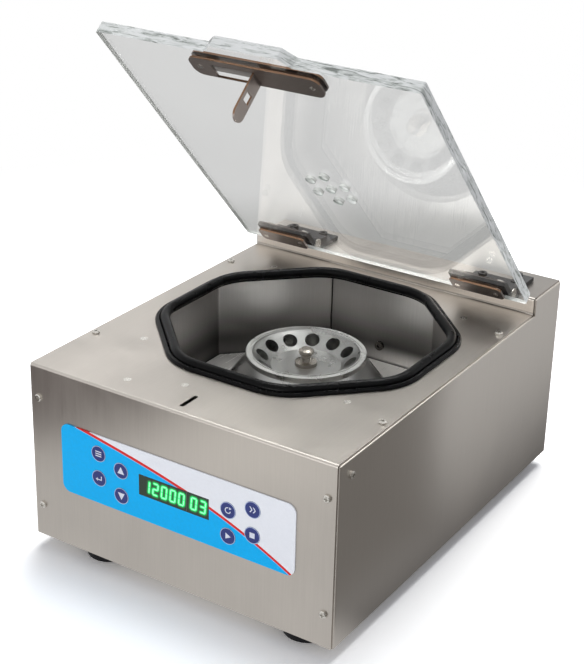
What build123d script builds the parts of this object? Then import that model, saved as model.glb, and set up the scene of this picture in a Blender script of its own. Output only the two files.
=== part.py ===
from build123d import *
from math import atan2, cos, degrees, pi, radians, sin, sqrt, tan
import os

# Bench micro-tube (haematocrit class) centrifuge: stainless cabinet, octagonal chamber,
# fixed-angle rotor, clear lid on friction hinges, solenoid lid latch.
# Units mm, +X right, +Y back, +Z up, origin under the middle of the object on the table.
# The lid is drawn open, as it rests.

# Cabinet
body_w = 254.0
body_d = 329.0
foot_h = 11.0
deck_h = 136.9
step_h = 13.1
block_d = 46.8
sheet = 1.2
bend_r = 2.0
side_reveal = 1.5
bend_relief = 0.9
flange_w = 12.0
key_proud = 1.0
sheet_screw_rise = 1.8
rear_proud = 4.2

front_y = -(body_d + rear_proud - sheet_screw_rise) / 2
back_y = front_y + body_d
base_z = foot_h
deck_z = foot_h + deck_h
block_z = deck_z + step_h
riser_y = back_y - block_d
cover_half = body_w / 2 - side_reveal
side_in = body_w / 2 - sheet
floor_top = base_z + sheet
under_deck = deck_z - sheet

# Gaps
run_gap = 0.05
slide_gap = 0.1
rest_gap = 0.3

# Sheet screws
sheet_screw_d = 3.0
sheet_screw_head = 5.6
edge_screw_in = 8.0
edge_screw_x = body_w / 2 - edge_screw_in
edge_screw_low = base_z + 25.2
edge_screw_high = base_z + 111.6
deck_screw_in = 7.1
deck_screw_x = body_w / 2 - deck_screw_in
deck_screw_ys = (front_y + 65.0, front_y + 235.7)
side_screw_y = front_y + 14.7
side_screw_z = base_z + 124.5

# Chamber
chamber_y = front_y + 161.7
opening_corner_r = 42.0
liner_sheet = 1.0
liner_side_gap = 12.4
liner_apothem = side_in - liner_sheet - liner_side_gap
opening_ledge = 8.4
opening_apothem = liner_apothem - opening_ledge
liner_bend_r = 2.0
floor_plate = 1.5
floor_rise = 66.8
chamber_floor_z = base_z + floor_rise
liner_bottom = chamber_floor_z - floor_plate - liner_sheet
wall_screw_rise = 13.3
wall_screw_z = chamber_floor_z + wall_screw_rise
stud_out = 7.9
stud_turn = radians(44.56)
stud_dx = (liner_apothem + stud_out) * cos(stud_turn)
stud_dy = (liner_apothem + stud_out) * sin(stud_turn)
stud_d = 4.0
stud_head_d = 5.6
boot_r = 22.0
liner_tab_t = 1.0

# Gasket
lip_w = 4.4
joint_x = -6.6
joint_gap = 0.4

# Rotor
rim_rise = 118.2
rim_z = base_z + rim_rise
rim_r = 45.0
rotor_h = 42.0
rotor_max_r = 66.0
skirt_foot_r = 60.0
hollow_foot_r = 45.0
hollow_r = 42.0
hollow_top_r = 22.0
hollow_h = 21.0
skirt_foot_rise = 4.0
bore_count = 12
bore_r = 5.6
bore_depth = 38.0
bore_tilt = 36.5
bore_face_r = 32.9
bore_face_drop = 5.85
bore_phase = 24.1
dish_r = 26.3
dish_drop = 10.7
hub_r = 13.0
spindle_r = 6.0
spindle_collar_r = 8.0
stud_thread_r = 3.0
knob_drop_top = 2.4

# Motor
motor_r = 37.0
motor_bottom = 17.0
motor_plate_z = 62.0
motor_plate_t = 3.0
motor_plate_half = 60.0
motor_boss_r = 14.0
isolator_r = 10.0
isolator_h = 20.0
isolator_offset = 48.0

# Lid
lid_side_in = 1.2
lid_w = body_w - 2 * lid_side_in
lid_overhang = 1.0
lid_t = 9.0
lid_lift = 6.0
lid_hinge_gap = 4.5
axis_y = riser_y - 1.2
axis_z = block_z + 6.5
open_angle = 47.5
centre_x = -1.0
tab_base_half = 34.5
tab_tip_half = 26.0
tab_d = 8.5
vent_r = 4.0
vent_pitch = 16.5

lid_low = deck_z + lid_lift
lid_high = lid_low + lid_t
lid_rear_y = axis_y - lid_hinge_gap
lid_front_y = front_y - lid_overhang

# Latch
latch_plate_half = 51.5
latch_plate_d = 20.0
latch_plate_t = 1.5
latch_plate_y = front_y + 15.7
latch_screw_dx = 44.0
tongue_w = 13.0
tongue_len = 34.5
tongue_hole = 7.0
tongue_hole_drop = 16.5
window_len = 33.0
slot_w = 3.4
slot_front = front_y + 8.0
slot_back = front_y + 26.0
tongue_y = front_y + 18.0
bolt_r = 2.5
bracket_t = 1.5

# Hinges
hinge_in = 38.8
hinge_dx = lid_w / 2 - hinge_in
clamp_half = 21.5
clamp_d = 15.0
clamp_t = 1.5
leaf_half = 23.5
leaf_t = 4.3
barrel_r = 4.8
barrel_half = 12.0
pin_r = 2.5
hinge_screw_dx = 16.0
hinge_screw_y = axis_y - 12.0
hinge_screw_r = 2.0
hinge_screw_rise = 2.4
fixed_leaf_t = 3.5
fixed_screw_dx = 14.0
fixed_screw_y = axis_y + 24.0

# Control panel
panel_w = 195.2
panel_h = 53.8
panel_t = 0.8
panel_x = -1.0
panel_z = base_z + 71.8
panel_corner_r = 6.5
key_r = 6.15
key_t = 0.6
key_travel = 0.35
key_stem_r = 3.5
stem_past = 1.0
key_outer_dx = 64.3
key_inner_dx = 44.8
key_row_z = {"high": base_z + 84.3, "mid": base_z + 77.2, "low": base_z + 65.0, "base": base_z + 57.5}
window_w = 58.7
window_h = 16.0
window_z = base_z + 72.2
board_y = front_y + 5.0
board_t = 1.6

# Transformer and drive board
transformer_w = 40.0
transformer_gap = 5.4
board_gap = 3.4
transformer_x = -(liner_apothem + liner_sheet - transformer_gap - transformer_w / 2)
board_edge = liner_apothem + liner_sheet - board_gap

# Rear panel
fan_x = -62.0
fan_z = 62.0
fan_side = 60.0
fan_deep = 15.0
fan_bore_r = 28.0
inlet_x = 66.0
inlet_z = 44.0
switch_x = 66.0
switch_z = 88.0
guard_t = 1.6
rocker_swing = 18.0
inlet_flange_w = 50.0
inlet_flange_h = 36.0
inlet_body_w = 27.0
inlet_body_h = 31.0
inlet_screw_dx = 20.0
inlet_depth = 26.0
socket_w = 24.0
socket_h = 16.5
socket_deep = 16.0
drawer_w = 22.0
drawer_h = 7.5
drawer_deep = 20.0
switch_flange_w = 32.0
switch_flange_h = 26.0
switch_body_w = 28.0
switch_body_h = 21.5
rocker_w = 23.0
rocker_h = 16.5

# Feet
foot_r = 18.0
foot_in_left = 49.0
foot_in_right = 35.0
foot_inset = 25.0
foot_xs = (-body_w / 2 + foot_in_left, body_w / 2 - foot_in_right)
foot_ys = (front_y + foot_inset, back_y - foot_inset)

parts = {}


def add(name, *shapes):
    parts.setdefault(name, []).extend(shapes)


def block(x0, x1, y0, y1, z0, z1):
    solid = Box(x1 - x0, y1 - y0, z1 - z0)
    return Pos((x0 + x1) / 2, (y0 + y1) / 2, (z0 + z1) / 2) * solid


def rod(x, y, z0, z1, r):
    return Pos(x, y, (z0 + z1) / 2) * Cylinder(r, z1 - z0)


def rod_x(x0, x1, y, z, r):
    return Pos((x0 + x1) / 2, y, z) * Rot(0, 90, 0) * Cylinder(r, x1 - x0)


def rod_y(x, y0, y1, z, r):
    return Pos(x, (y0 + y1) / 2, z) * Rot(90, 0, 0) * Cylinder(r, y1 - y0)


def facing(direction):
    turns = {"+z": (0, 0, 0), "-z": (180, 0, 0), "-y": (90, 0, 0), "+y": (-90, 0, 0),
             "+x": (0, 90, 0), "-x": (0, -90, 0)}
    return Rot(*turns[direction])


def rounded(w, h, r):
    return RectangleRounded(w, h, r)


def plate_z(sketch, x, y, z0, z1):
    return Pos(x, y, z0) * extrude(sketch, z1 - z0)


def plate_y(sketch, x, z, y0, y1):
    # The sketch's own x runs along X and its y along Z; it is thickened from y0 to y1
    return Pos(x, y1, z) * Rot(90, 0, 0) * extrude(sketch, y1 - y0)


def turned(points):
    # Closed outline of (radius, height) pairs revolved about Z
    face = make_face(Polyline(*[(r, 0, z) for r, z in points], close=True))
    return revolve(face, Axis.Z, 360)


def octagon(apothem, corner_r):
    k = tan(pi / 8) * apothem
    pts = [(apothem, -k), (apothem, k), (k, apothem), (-k, apothem),
           (-apothem, k), (-apothem, -k), (-k, -apothem), (k, -apothem)]
    face = make_face(Polyline(*pts, close=True))
    return fillet(face.vertices(), corner_r)


def octagon_ring(outer, outer_r, inner, inner_r, z0, z1):
    ring = octagon(outer, outer_r) - octagon(inner, inner_r)
    return Pos(0, chamber_y, z0) * extrude(ring, z1 - z0)


def octagon_plug(apothem, corner_r, z0, z1):
    return Pos(0, chamber_y, z0) * extrude(octagon(apothem, corner_r), z1 - z0)


def plain_screw(head_d, head_h, shank_r, length):
    # Head stands on z = 0, shank points down
    return Pos(0, 0, head_h / 2) * Cylinder(head_d / 2, head_h) + Pos(0, 0, -length / 2) * Cylinder(shank_r, length)


def pan_screw(head_d, head_h, shank_r, length):
    # The same with a bevelled head and a cross recess
    head = Pos(0, 0, head_h / 2) * Cylinder(head_d / 2, head_h)
    head = chamfer(head.edges().sort_by(Axis.Z)[-1], head_h * 0.35)
    shank = Pos(0, 0, -length / 2) * Cylinder(shank_r, length)
    bit = Box(head_d * 0.6, head_d * 0.14, head_h) + Box(head_d * 0.14, head_d * 0.6, head_h)
    return head + shank - Pos(0, 0, head_h) * bit


def socket_screw(head_d, head_h, shank_r, length):
    head = Pos(0, 0, head_h / 2) * Cylinder(head_d / 2, head_h)
    shank = Pos(0, 0, -length / 2) * Cylinder(shank_r, length)
    key = Pos(0, 0, head_h * 0.5) * extrude(RegularPolygon(head_d * 0.25, 6), head_h)
    return head + shank - key


def hex_nut(across, height, hole_r):
    body = extrude(RegularPolygon(across / 2, 6, major_radius=False), height)
    return body - Pos(0, 0, height / 2) * Cylinder(hole_r, height)


def bent_strip(path, x0, x1, bends):
    # A folded sheet seen from the side: path is its outer line in (y, z), bends gives
    # for each inner corner of the path the side on which the metal turns
    inner = offset_path(path, sheet)
    outline = make_face(Polyline(*[(0, y, z) for y, z in path + inner[::-1]], close=True))
    solid = extrude(outline, x1 - x0, dir=(1, 0, 0))
    solid = Pos(x0, 0, 0) * solid
    for (oy, oz), (iy, iz), outward in zip(path[1:-1], inner[1:-1], bends):
        big = (oy, oz) if outward else (iy, iz)
        small = (iy, iz) if outward else (oy, oz)
        for (y, z), r in ((big, bend_r), (small, bend_r - sheet)):
            edges = [e for e in solid.edges().filter_by(Axis.X)
                     if abs(e.center().Y - y) < 0.01 and abs(e.center().Z - z) < 0.01]
            solid = fillet(edges, r)
    return solid


def offset_path(path, t):
    # Right-hand offset of an open path whose pieces run along y or z
    shifts = []
    for (ya, za), (yb, zb) in zip(path, path[1:]):
        n = sqrt((yb - ya) ** 2 + (zb - za) ** 2)
        shifts.append(((zb - za) / n * t, -(yb - ya) / n * t))
    out = []
    for i, (y, z) in enumerate(path):
        if i == 0:
            dy, dz = shifts[0]
        elif i == len(path) - 1:
            dy, dz = shifts[-1]
        else:
            dy, dz = shifts[i - 1][0] + shifts[i][0], shifts[i - 1][1] + shifts[i][1]
        out.append((y + dy, z + dz))
    return out


def opened(shape):
    # Swings a shape drawn with the lid shut to the open rest position
    return Pos(0, axis_y, axis_z) * Rot(-open_angle, 0, 0) * Pos(0, -axis_y, -axis_z) * shape


def around(count, phase=0.0):
    return [phase + 360.0 / count * i for i in range(count)]


def wall_dirs():
    return [(1, 0), (0, 1), (-1, 0), (0, -1)]


def top_cover():
    path = [(front_y, base_z), (front_y, deck_z), (riser_y, deck_z), (riser_y, block_z),
            (back_y, block_z), (back_y, block_z - flange_w)]
    cover = bent_strip(path, -cover_half, cover_half, [True, False, True, True])
    cover -= octagon_plug(opening_apothem, opening_corner_r, under_deck - 1, deck_z + 1)
    slot = rounded(slot_w, slot_back - slot_front, slot_w / 2 - 0.05)
    cover -= plate_z(slot, centre_x + 0.1, (slot_front + slot_back) / 2, under_deck - 1, deck_z + 1)
    for x in (-deck_screw_x, deck_screw_x):
        for y in deck_screw_ys:
            cover -= rod(x, y, under_deck - 1, deck_z + 1, sheet_screw_d / 2)
    for x, y in stud_places():
        cover -= rod(x, y, under_deck - 1, deck_z + 1, stud_head_d / 2)
    for x in (-edge_screw_x, edge_screw_x):
        for z in (edge_screw_low, edge_screw_high):
            cover -= rod_y(x, front_y - 1, front_y + sheet + 1, z, sheet_screw_d / 2)
    for x, z in key_places().values():
        cover -= rod_y(x, front_y - 1, front_y + sheet + 1, z, key_stem_r + slide_gap)
    cover -= block(panel_x - window_w / 2 + 1.2, panel_x + window_w / 2 - 1.2,
                   front_y - 1, front_y + sheet + 1, window_z - window_h / 2 + 1.2, window_z + window_h / 2 - 1.2)
    for c in (-hinge_dx, hinge_dx):
        for dx in (-fixed_screw_dx, fixed_screw_dx):
            cover -= rod(c + dx, fixed_screw_y, block_z - sheet - 1, block_z + 1, hinge_screw_r)
    add("top_cover", cover)


def stud_places():
    liner = [(sx * stud_dx, chamber_y + sy * stud_dy) for sx in (-1, 1) for sy in (-1, 1)]
    return liner + bracket_studs()


def bracket_studs():
    return [(-17.2, front_y + 34.5), (-54.1, front_y + 18.5)]


def key_places():
    left, right = panel_x - key_outer_dx, panel_x + key_outer_dx
    near_left, near_right = panel_x - key_inner_dx, panel_x + key_inner_dx
    return {"key_menu": (left, key_row_z["high"]), "key_enter": (left, key_row_z["low"]),
            "key_up": (near_left, key_row_z["mid"]), "key_down": (near_left, key_row_z["base"]),
            "key_force": (near_right, key_row_z["mid"]), "key_pulse": (right, key_row_z["high"]),
            "key_start": (near_right, key_row_z["base"]), "key_stop": (right, key_row_z["low"])}


def base_tray():
    y0, y1 = front_y + sheet, back_y - sheet
    step_y = riser_y + sheet
    tray = block(-body_w / 2, body_w / 2, y0, y1, base_z, floor_top)
    for s in (-1, 1):
        xs = sorted((s * side_in, s * body_w / 2))
        wall = block(*xs, y0, y1, base_z, under_deck)
        wall += block(*xs, step_y, y1, under_deck - 1, block_z - sheet)
        lip = sorted((s * (body_w / 2 - flange_w), s * side_in))
        wall += block(*lip, y0, step_y - 4, under_deck - sheet, under_deck)
        wall += block(*lip, step_y + 4, y1, block_z - 2 * sheet, block_z - sheet)
        wall += block(*lip, y0, y0 + sheet, floor_top, under_deck)
        wall += block(*lip, y1 - sheet, y1, floor_top, block_z - sheet)
        tray += wall
        outer = [e for e in tray.edges() if abs(e.center().X - s * body_w / 2) < 0.01]
        long_ones = [e for e in outer if e.length > 30 and
                     (abs(e.center().Z - base_z) < 0.01 or abs(e.center().Z - under_deck) < 0.01
                      or abs(e.center().Z - (block_z - sheet)) < 0.01
                      or abs(e.center().Y - y0) < 0.01 or abs(e.center().Y - y1) < 0.01)]
        tray = fillet(long_ones, 1.1)
    # Relief where the flanges sit inside the cover's bends
    for y, z in ((y0, under_deck), (y1, block_z - sheet)):
        tray -= block(-side_in, side_in, y - bend_relief, y + bend_relief, z - bend_relief, z + bend_relief)
    for x, y in isolator_places():
        tray += rod(x, y, floor_top, motor_plate_z - isolator_h, 7.0)
    for x in (-edge_screw_x, edge_screw_x):
        for z in (edge_screw_low, edge_screw_high):
            tray -= rod_y(x, front_y, front_y + 5, z, sheet_screw_d / 2)
            tray -= rod_y(x, back_y - 5, back_y, z, sheet_screw_d / 2)
    for x in (-deck_screw_x, deck_screw_x):
        for y in deck_screw_ys:
            tray -= rod(x, y, under_deck - 3, deck_z, sheet_screw_d / 2)
    for s in (-1, 1):
        tray -= rod_x(*sorted((s * (side_in - 1), s * (body_w / 2 + 1))), side_screw_y, side_screw_z,
                      sheet_screw_d / 2)
    for x in foot_xs:
        for y in foot_ys:
            tray -= rod(x, y, base_z - 1, floor_top + 1, 2.0)
    for x, y in standoff_places():
        tray -= rod(x, y, base_z - 1, floor_top + 1, 1.5)
    # Cooling slots in the floor, ahead of and behind the motor
    for row_y in (chamber_y - 92, chamber_y + 92):
        for i in range(-2, 3):
            tray -= plate_z(rounded(4, 26, 1.9), i * 12.0, row_y, base_z - 1, floor_top + 1)
    add("base_tray", tray)


def isolator_places():
    return [(sx * isolator_offset, chamber_y + sy * isolator_offset) for sx in (-1, 1) for sy in (-1, 1)]


def rear_panel():
    y0, y1 = back_y - sheet, back_y
    z0, z1 = base_z + 1.2, block_z - flange_w - 0.5
    panel = block(-cover_half, cover_half, y0, y1, z0, z1)
    panel -= rod_y(fan_x, y0 - 1, y1 + 1, fan_z, fan_bore_r)
    for dx in (-25, 25):
        for dz in (-25, 25):
            panel -= rod_y(fan_x + dx, y0 - 1, y1 + 1, fan_z + dz, 2.0)
    panel -= block(inlet_x - inlet_body_w / 2 - 0.2, inlet_x + inlet_body_w / 2 + 0.2, y0 - 1, y1 + 1,
                   inlet_z - inlet_body_h / 2 - 0.2, inlet_z + inlet_body_h / 2 + 0.2)
    panel -= block(switch_x - switch_body_w / 2 - 0.2, switch_x + switch_body_w / 2 + 0.2, y0 - 1, y1 + 1,
                   switch_z - switch_body_h / 2 - 0.2, switch_z + switch_body_h / 2 + 0.2)
    for x in (-edge_screw_x, edge_screw_x):
        for z in (edge_screw_low, edge_screw_high):
            panel -= rod_y(x, y0 - 1, y1 + 1, z, sheet_screw_d / 2)
    for dx in (-inlet_screw_dx, inlet_screw_dx):
        panel -= rod_y(inlet_x + dx, y0 - 1, y1 + 1, inlet_z, 1.5)
    # Air inlet slots high on the panel
    for i in range(-4, 5):
        panel -= plate_y(rounded(4, 22, 1.9), i * 10.0, base_z + 117, y0 - 1, y1 + 1)
    add("rear_panel", panel)


def screws():
    small = pan_screw(sheet_screw_head, sheet_screw_rise, sheet_screw_d / 2 - 0.02, 6.0)
    for x in (-edge_screw_x, edge_screw_x):
        for z in (edge_screw_low, edge_screw_high):
            add("cabinet_screws", Pos(x, front_y, z) * facing("-y") * small)
            add("cabinet_screws", Pos(x, back_y, z) * facing("+y") * small)
    for x in (-deck_screw_x, deck_screw_x):
        for y in deck_screw_ys:
            add("cabinet_screws", Pos(x, y, deck_z) * small)
    for s, way in ((-1, "-x"), (1, "+x")):
        add("cabinet_screws", Pos(s * body_w / 2, side_screw_y, side_screw_z) * facing(way) * small)
    # Clinched studs: flat head flush in the deck, thread below with a nut
    for x, y in stud_places():
        head = rod(x, y, under_deck, deck_z + 0.1, stud_head_d / 2 - 0.02)
        add("deck_studs", head + rod(x, y, deck_z - 10, under_deck, stud_d / 2 - 0.02))
    nut = hex_nut(7.0, 3.2, stud_d / 2)
    for x, y in stud_places():
        below = liner_tab_t if (x, y) not in bracket_studs() else bracket_t
        add("m4_nuts", Pos(x, y, under_deck - below - 3.2) * nut)


def gasket():
    # Double-bead rubber trim gripping the edge of the chamber opening
    profile_parts = trim_profile()
    k = tan(pi / 8)
    tangent = opening_corner_r * k
    half = opening_apothem * k - tangent
    centre_r = opening_apothem - opening_corner_r
    solids = []
    for i in range(8):
        # Straight run along each flat, drawn on the rear flat and turned into place
        face = Plane(origin=(-half, opening_apothem, deck_z), x_dir=(0, 1, 0), z_dir=(1, 0, 0)) * profile_parts
        run = extrude(face, 2 * half)
        # Corner bend between this flat and the next
        hub = Vector(-half, centre_r, 0)
        face = Plane(origin=(-half, opening_apothem, deck_z), x_dir=(0, 1, 0), z_dir=(1, 0, 0)) * profile_parts
        corner = revolve(face, Axis((hub.X, hub.Y, 0), (0, 0, 1)), 45)
        piece = Rot(0, 0, 45 * i) * (run + corner)
        solids.append(piece)
    trim = solids[0]
    for piece in solids[1:]:
        trim += piece
    # The strip is cut to length and its ends meet at the rear
    trim -= block(joint_x, joint_x + joint_gap, opening_apothem - 12, opening_apothem + 12, deck_z - 8, deck_z + 10)
    add("gasket", Pos(0, chamber_y, 0) * trim)


def trim_profile():
    # x outward from the cut edge, y up from the top of the deck
    bead = Pos(-3.0, 2.0) * Circle(3.7)
    lip = make_face(Polyline((-1, 0), (lip_w, 0), (lip_w, 1.2), (lip_w - 0.9, 2.3), (1.6, 2.3), (0.4, 1.2), (-1, 1.2),
                             close=True))
    web = Pos(-1.55, -1.6) * Rectangle(3.0, 3.4)
    under = Pos(0.9, -sheet - 0.9) * Rectangle(7.8, 1.8)
    section = bead + lip + web + under
    return section - Pos(10, -sheet / 2) * Rectangle(20, sheet)


def chamber():
    wall = octagon_ring(liner_apothem + liner_sheet, liner_bend_r + liner_sheet, liner_apothem, liner_bend_r,
                        liner_bottom, under_deck)
    wall += octagon_ring(liner_apothem + liner_sheet / 2, liner_bend_r, liner_apothem - 8, liner_bend_r,
                         liner_bottom, liner_bottom + liner_sheet)
    for x, y in stud_places()[:4]:
        s = (1 if x > 0 else -1, 1 if y > chamber_y else -1)
        turn = degrees(atan2(s[1], s[0]))
        reach = liner_apothem + liner_sheet / 2
        tab = block(reach, reach + 15, -9, 9, under_deck - liner_tab_t, under_deck)
        tab = Pos(0, chamber_y, 0) * Rot(0, 0, turn) * tab
        wall += tab
        wall -= rod(x, y, under_deck - 3, under_deck + 1, stud_d / 2)
    # Open seam at the bend left of the rear wall; the rear wall runs on behind it as a lap
    seam_x = -liner_apothem * tan(pi / 8)
    wall -= block(seam_x - 0.5, seam_x + 0.7, chamber_y + liner_apothem - 4, chamber_y + liner_apothem + 4,
                  liner_bottom + liner_sheet, under_deck)
    lap_y = chamber_y + liner_apothem + liner_sheet
    wall += block(seam_x - 6, seam_x + 7, lap_y, lap_y + liner_sheet, liner_bottom, under_deck)
    for dx, dy in wall_dirs():
        turn = degrees(atan2(dy, dx))
        hole = rod_x(liner_apothem - 2, liner_apothem + 4, 0, wall_screw_z, 2.0)
        wall -= Pos(0, chamber_y, 0) * Rot(0, 0, turn) * hole
    add("chamber_liner", wall)

    floor = octagon_plug(liner_apothem - 0.3, liner_bend_r, chamber_floor_z - floor_plate, chamber_floor_z)
    floor -= rod(0, chamber_y, chamber_floor_z - 5, chamber_floor_z + 5, boot_r - 6)
    add("chamber_floor", floor)

    # Angle brackets from the tray carry the liner; one screw through each main wall
    outer = liner_apothem + liner_sheet
    for dx, dy in wall_dirs():
        turn = degrees(atan2(dy, dx))
        leg = block(outer, outer + 1.5, -11, 11, floor_top, wall_screw_z + 10)
        leg += block(outer, outer + 10, -11, 11, floor_top, floor_top + 1.5)
        leg -= rod_x(outer - 1, outer + 3, 0, wall_screw_z, 2.0)
        add("liner_brackets", Pos(0, chamber_y, 0) * Rot(0, 0, turn) * leg)
        screw = Pos(liner_apothem, 0, wall_screw_z) * facing("-x") * socket_screw(7.5, 2.2, 1.95, 5.0)
        add("socket_screws", Pos(0, chamber_y, 0) * Rot(0, 0, turn) * screw)


def rotor_set():
    top = rim_z
    skirt_top_r = rim_r - 1.5
    outline = [(spindle_r + run_gap, top - rotor_h), (hub_r, top - rotor_h), (hub_r, top - hollow_h), (hollow_top_r, top - hollow_h),
               (hollow_r, top - rotor_h + skirt_foot_rise), (hollow_foot_r, top - rotor_h), (skirt_foot_r, top - rotor_h),
               (rotor_max_r, top - rotor_h + skirt_foot_rise),
               (rotor_max_r, top - 34.3), (skirt_top_r, top - 4.2), (rim_r, top - 4.2), (rim_r, top - 0.5), (rim_r - 0.5, top),
               (42.0, top), (42.0, top - 0.6), (41.0, top - 0.6), (41.0, top), (40.0, top), (39.4, top - 1.0),
               (dish_r, top - dish_drop), (spindle_r + run_gap, top - dish_drop)]
    body = turned(outline)
    for a in around(bore_count, bore_phase):
        tool = Pos(0, 0, -bore_depth / 2 + 3) * Cylinder(bore_r, bore_depth + 6)
        tool = Pos(bore_face_r, 0, top - bore_face_drop) * Rot(0, -bore_tilt, 0) * tool
        body -= Rot(0, 0, a) * tool
    add("rotor", Pos(0, chamber_y, 0) * body)

    seat = top - dish_drop
    knob_top = top + knob_drop_top
    knob = turned([(0, knob_top), (3.5, knob_top), (5.4, knob_top - 1.2), (5.8, knob_top - 3.0), (5.2, knob_top - 4.4),
                   (3.6, knob_top - 5.4), (3.4, knob_top - 7.4), (4.2, seat + 3.0), (8.2, seat + 2.6),
                   (8.4, seat), (stud_thread_r + run_gap, seat), (stud_thread_r + run_gap, seat + 5.0), (0, seat + 5.0)])
    add("rotor_knob", Pos(0, chamber_y, 0) * knob)

    hub_seat = top - rotor_h
    shaft = turned([(0, motor_plate_z - 22), (spindle_r, motor_plate_z - 22), (spindle_r, motor_plate_z + 6),
                    (spindle_collar_r, motor_plate_z + 6), (spindle_collar_r, hub_seat), (spindle_r, hub_seat),
                    (spindle_r, seat), (stud_thread_r, seat), (stud_thread_r, seat + 4.7), (0, seat + 4.7)])
    add("drive_spindle", Pos(0, chamber_y, 0) * shaft)

    boot = turned([(spindle_collar_r + 0.4, chamber_floor_z), (boot_r, chamber_floor_z),
                   (boot_r, chamber_floor_z + 2.0), (spindle_collar_r + 4, chamber_floor_z + 4.5),
                   (spindle_collar_r + 0.4, chamber_floor_z + 4.5)])
    add("spindle_seal", Pos(0, chamber_y, 0) * boot)


def motor_set():
    z = motor_plate_z
    body = turned([(0, motor_bottom), (12, motor_bottom), (12, motor_bottom + 2), (motor_r - 3, motor_bottom + 2),
                   (motor_r, motor_bottom + 5), (motor_r, z - 10), (motor_r - 1.5, z - 8.5), (motor_r - 1.5, z),
                   (motor_boss_r, z), (motor_boss_r, z + motor_plate_t + 1.5), (spindle_r + run_gap, z + motor_plate_t + 1.5),
                   (spindle_r + run_gap, z - 22.5), (0, z - 22.5)])
    for a in around(12):
        body -= Rot(0, 0, a) * block(motor_r - 2.0, motor_r + 1, -1.5, 1.5, motor_bottom + 10, z - 15)
    add("motor", Pos(0, chamber_y, 0) * body)

    plate = plate_z(rounded(2 * motor_plate_half, 2 * motor_plate_half, 10), 0, chamber_y, z, z + motor_plate_t)
    plate -= rod(0, chamber_y, z - 1, z + 5, motor_boss_r + 0.2)
    for x, y in isolator_places():
        plate -= rod(x, y, z - 1, z + 5, 2.5)
    for a in around(4, 45):
        dx, dy = 26 * cos(radians(a)), 26 * sin(radians(a))
        plate -= rod(dx, chamber_y + dy, z - 1, z + 5, 2.0)
        screw = Pos(dx, chamber_y + dy, z + motor_plate_t) * plain_screw(7.0, 4.0, 1.98, motor_plate_t)
        add("socket_screws", screw)
    add("motor_plate", plate)

    post_top = z - isolator_h
    for x, y in isolator_places():
        rubber = rod(x, y, post_top, z, isolator_r)
        rubber -= rod(x, y, z - 8, z + 1, 2.5)
        add("motor_isolators", rubber)
        add("socket_screws", Pos(x, y, z + motor_plate_t) * plain_screw(8.5, 5.0, 2.48, 9.0))


def lid_set():
    w2 = lid_w / 2
    pts = [(-w2, lid_rear_y), (w2, lid_rear_y), (w2, lid_front_y), (centre_x + tab_base_half, lid_front_y),
           (centre_x + tab_tip_half, lid_front_y - tab_d), (centre_x - tab_tip_half, lid_front_y - tab_d),
           (centre_x - tab_base_half, lid_front_y), (-w2, lid_front_y)]
    face = make_face(Polyline(*pts, close=True))
    face = fillet(face.vertices(), 1.5)
    lid = Pos(0, 0, lid_low) * extrude(face, lid_t)
    lid = chamfer(lid.faces().sort_by(Axis.Z)[-1].edges(), 0.4)
    for x, y in vent_places():
        lid -= rod(x, y, lid_low - 1, lid_high + 1, vent_r)
    for c in (-hinge_dx, hinge_dx):
        for dx in (-hinge_screw_dx, hinge_screw_dx):
            lid -= rod(c + dx, hinge_screw_y, lid_low - 1, lid_high + 1, hinge_screw_r)
    for dx in (-latch_screw_dx, latch_screw_dx):
        lid -= rod(centre_x + dx, latch_plate_y, lid_low - 1, lid_high + 1, hinge_screw_r)
    add("lid", opened(lid))

    plate = rounded(2 * latch_plate_half, latch_plate_d, 7.0)
    low = lid_low - latch_plate_t
    inner = plate_z(plate, centre_x, latch_plate_y, low, lid_low)
    fold_x = centre_x + latch_plate_t / 2
    cut = block(fold_x - window_len - latch_plate_t, fold_x, tongue_y - tongue_w / 2 - 0.5, tongue_y + tongue_w / 2 + 0.5,
                low - 1, lid_low)
    inner -= cut
    blade = rounded(tongue_len * 2, tongue_w, tongue_w / 2 - 0.1)
    blade = Pos(fold_x - latch_plate_t, tongue_y, lid_low) * Rot(0, 90, 0) * extrude(blade, latch_plate_t)
    blade -= block(fold_x - 10, fold_x + 10, tongue_y - 20, tongue_y + 20, lid_low, lid_low + 50)
    blade += block(fold_x - latch_plate_t, fold_x + 0.5, tongue_y - tongue_w / 2, tongue_y + tongue_w / 2, low, lid_low)
    hole_z = lid_low - tongue_hole_drop
    blade -= block(fold_x - 5, fold_x + 5, tongue_y - tongue_hole / 2, tongue_y + tongue_hole / 2,
                   hole_z - tongue_hole / 2, hole_z + tongue_hole / 2)
    inner += blade
    outer = plate_z(plate, centre_x, latch_plate_y, lid_high, lid_high + latch_plate_t)
    for dx in (-latch_screw_dx, latch_screw_dx):
        inner -= rod(centre_x + dx, latch_plate_y, low - 1, lid_low + 1, hinge_screw_r)
        outer -= rod(centre_x + dx, latch_plate_y, lid_high - 1, lid_high + 3, hinge_screw_r)
        grip = lid_t + 2 * latch_plate_t
        screw = socket_screw(7.4, 2.2, hinge_screw_r - 0.02, grip + 0.4)
        add("lid_screws", opened(Pos(centre_x + dx, latch_plate_y, lid_high + latch_plate_t) * screw))
    add("latch_plate", opened(inner))
    add("latch_backing_plate", opened(outer))


def vent_places():
    spots = [(centre_x, chamber_y)]
    for a in around(6, 30):
        spots.append((centre_x + vent_pitch * cos(radians(a)), chamber_y + vent_pitch * sin(radians(a))))
    return spots


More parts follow.
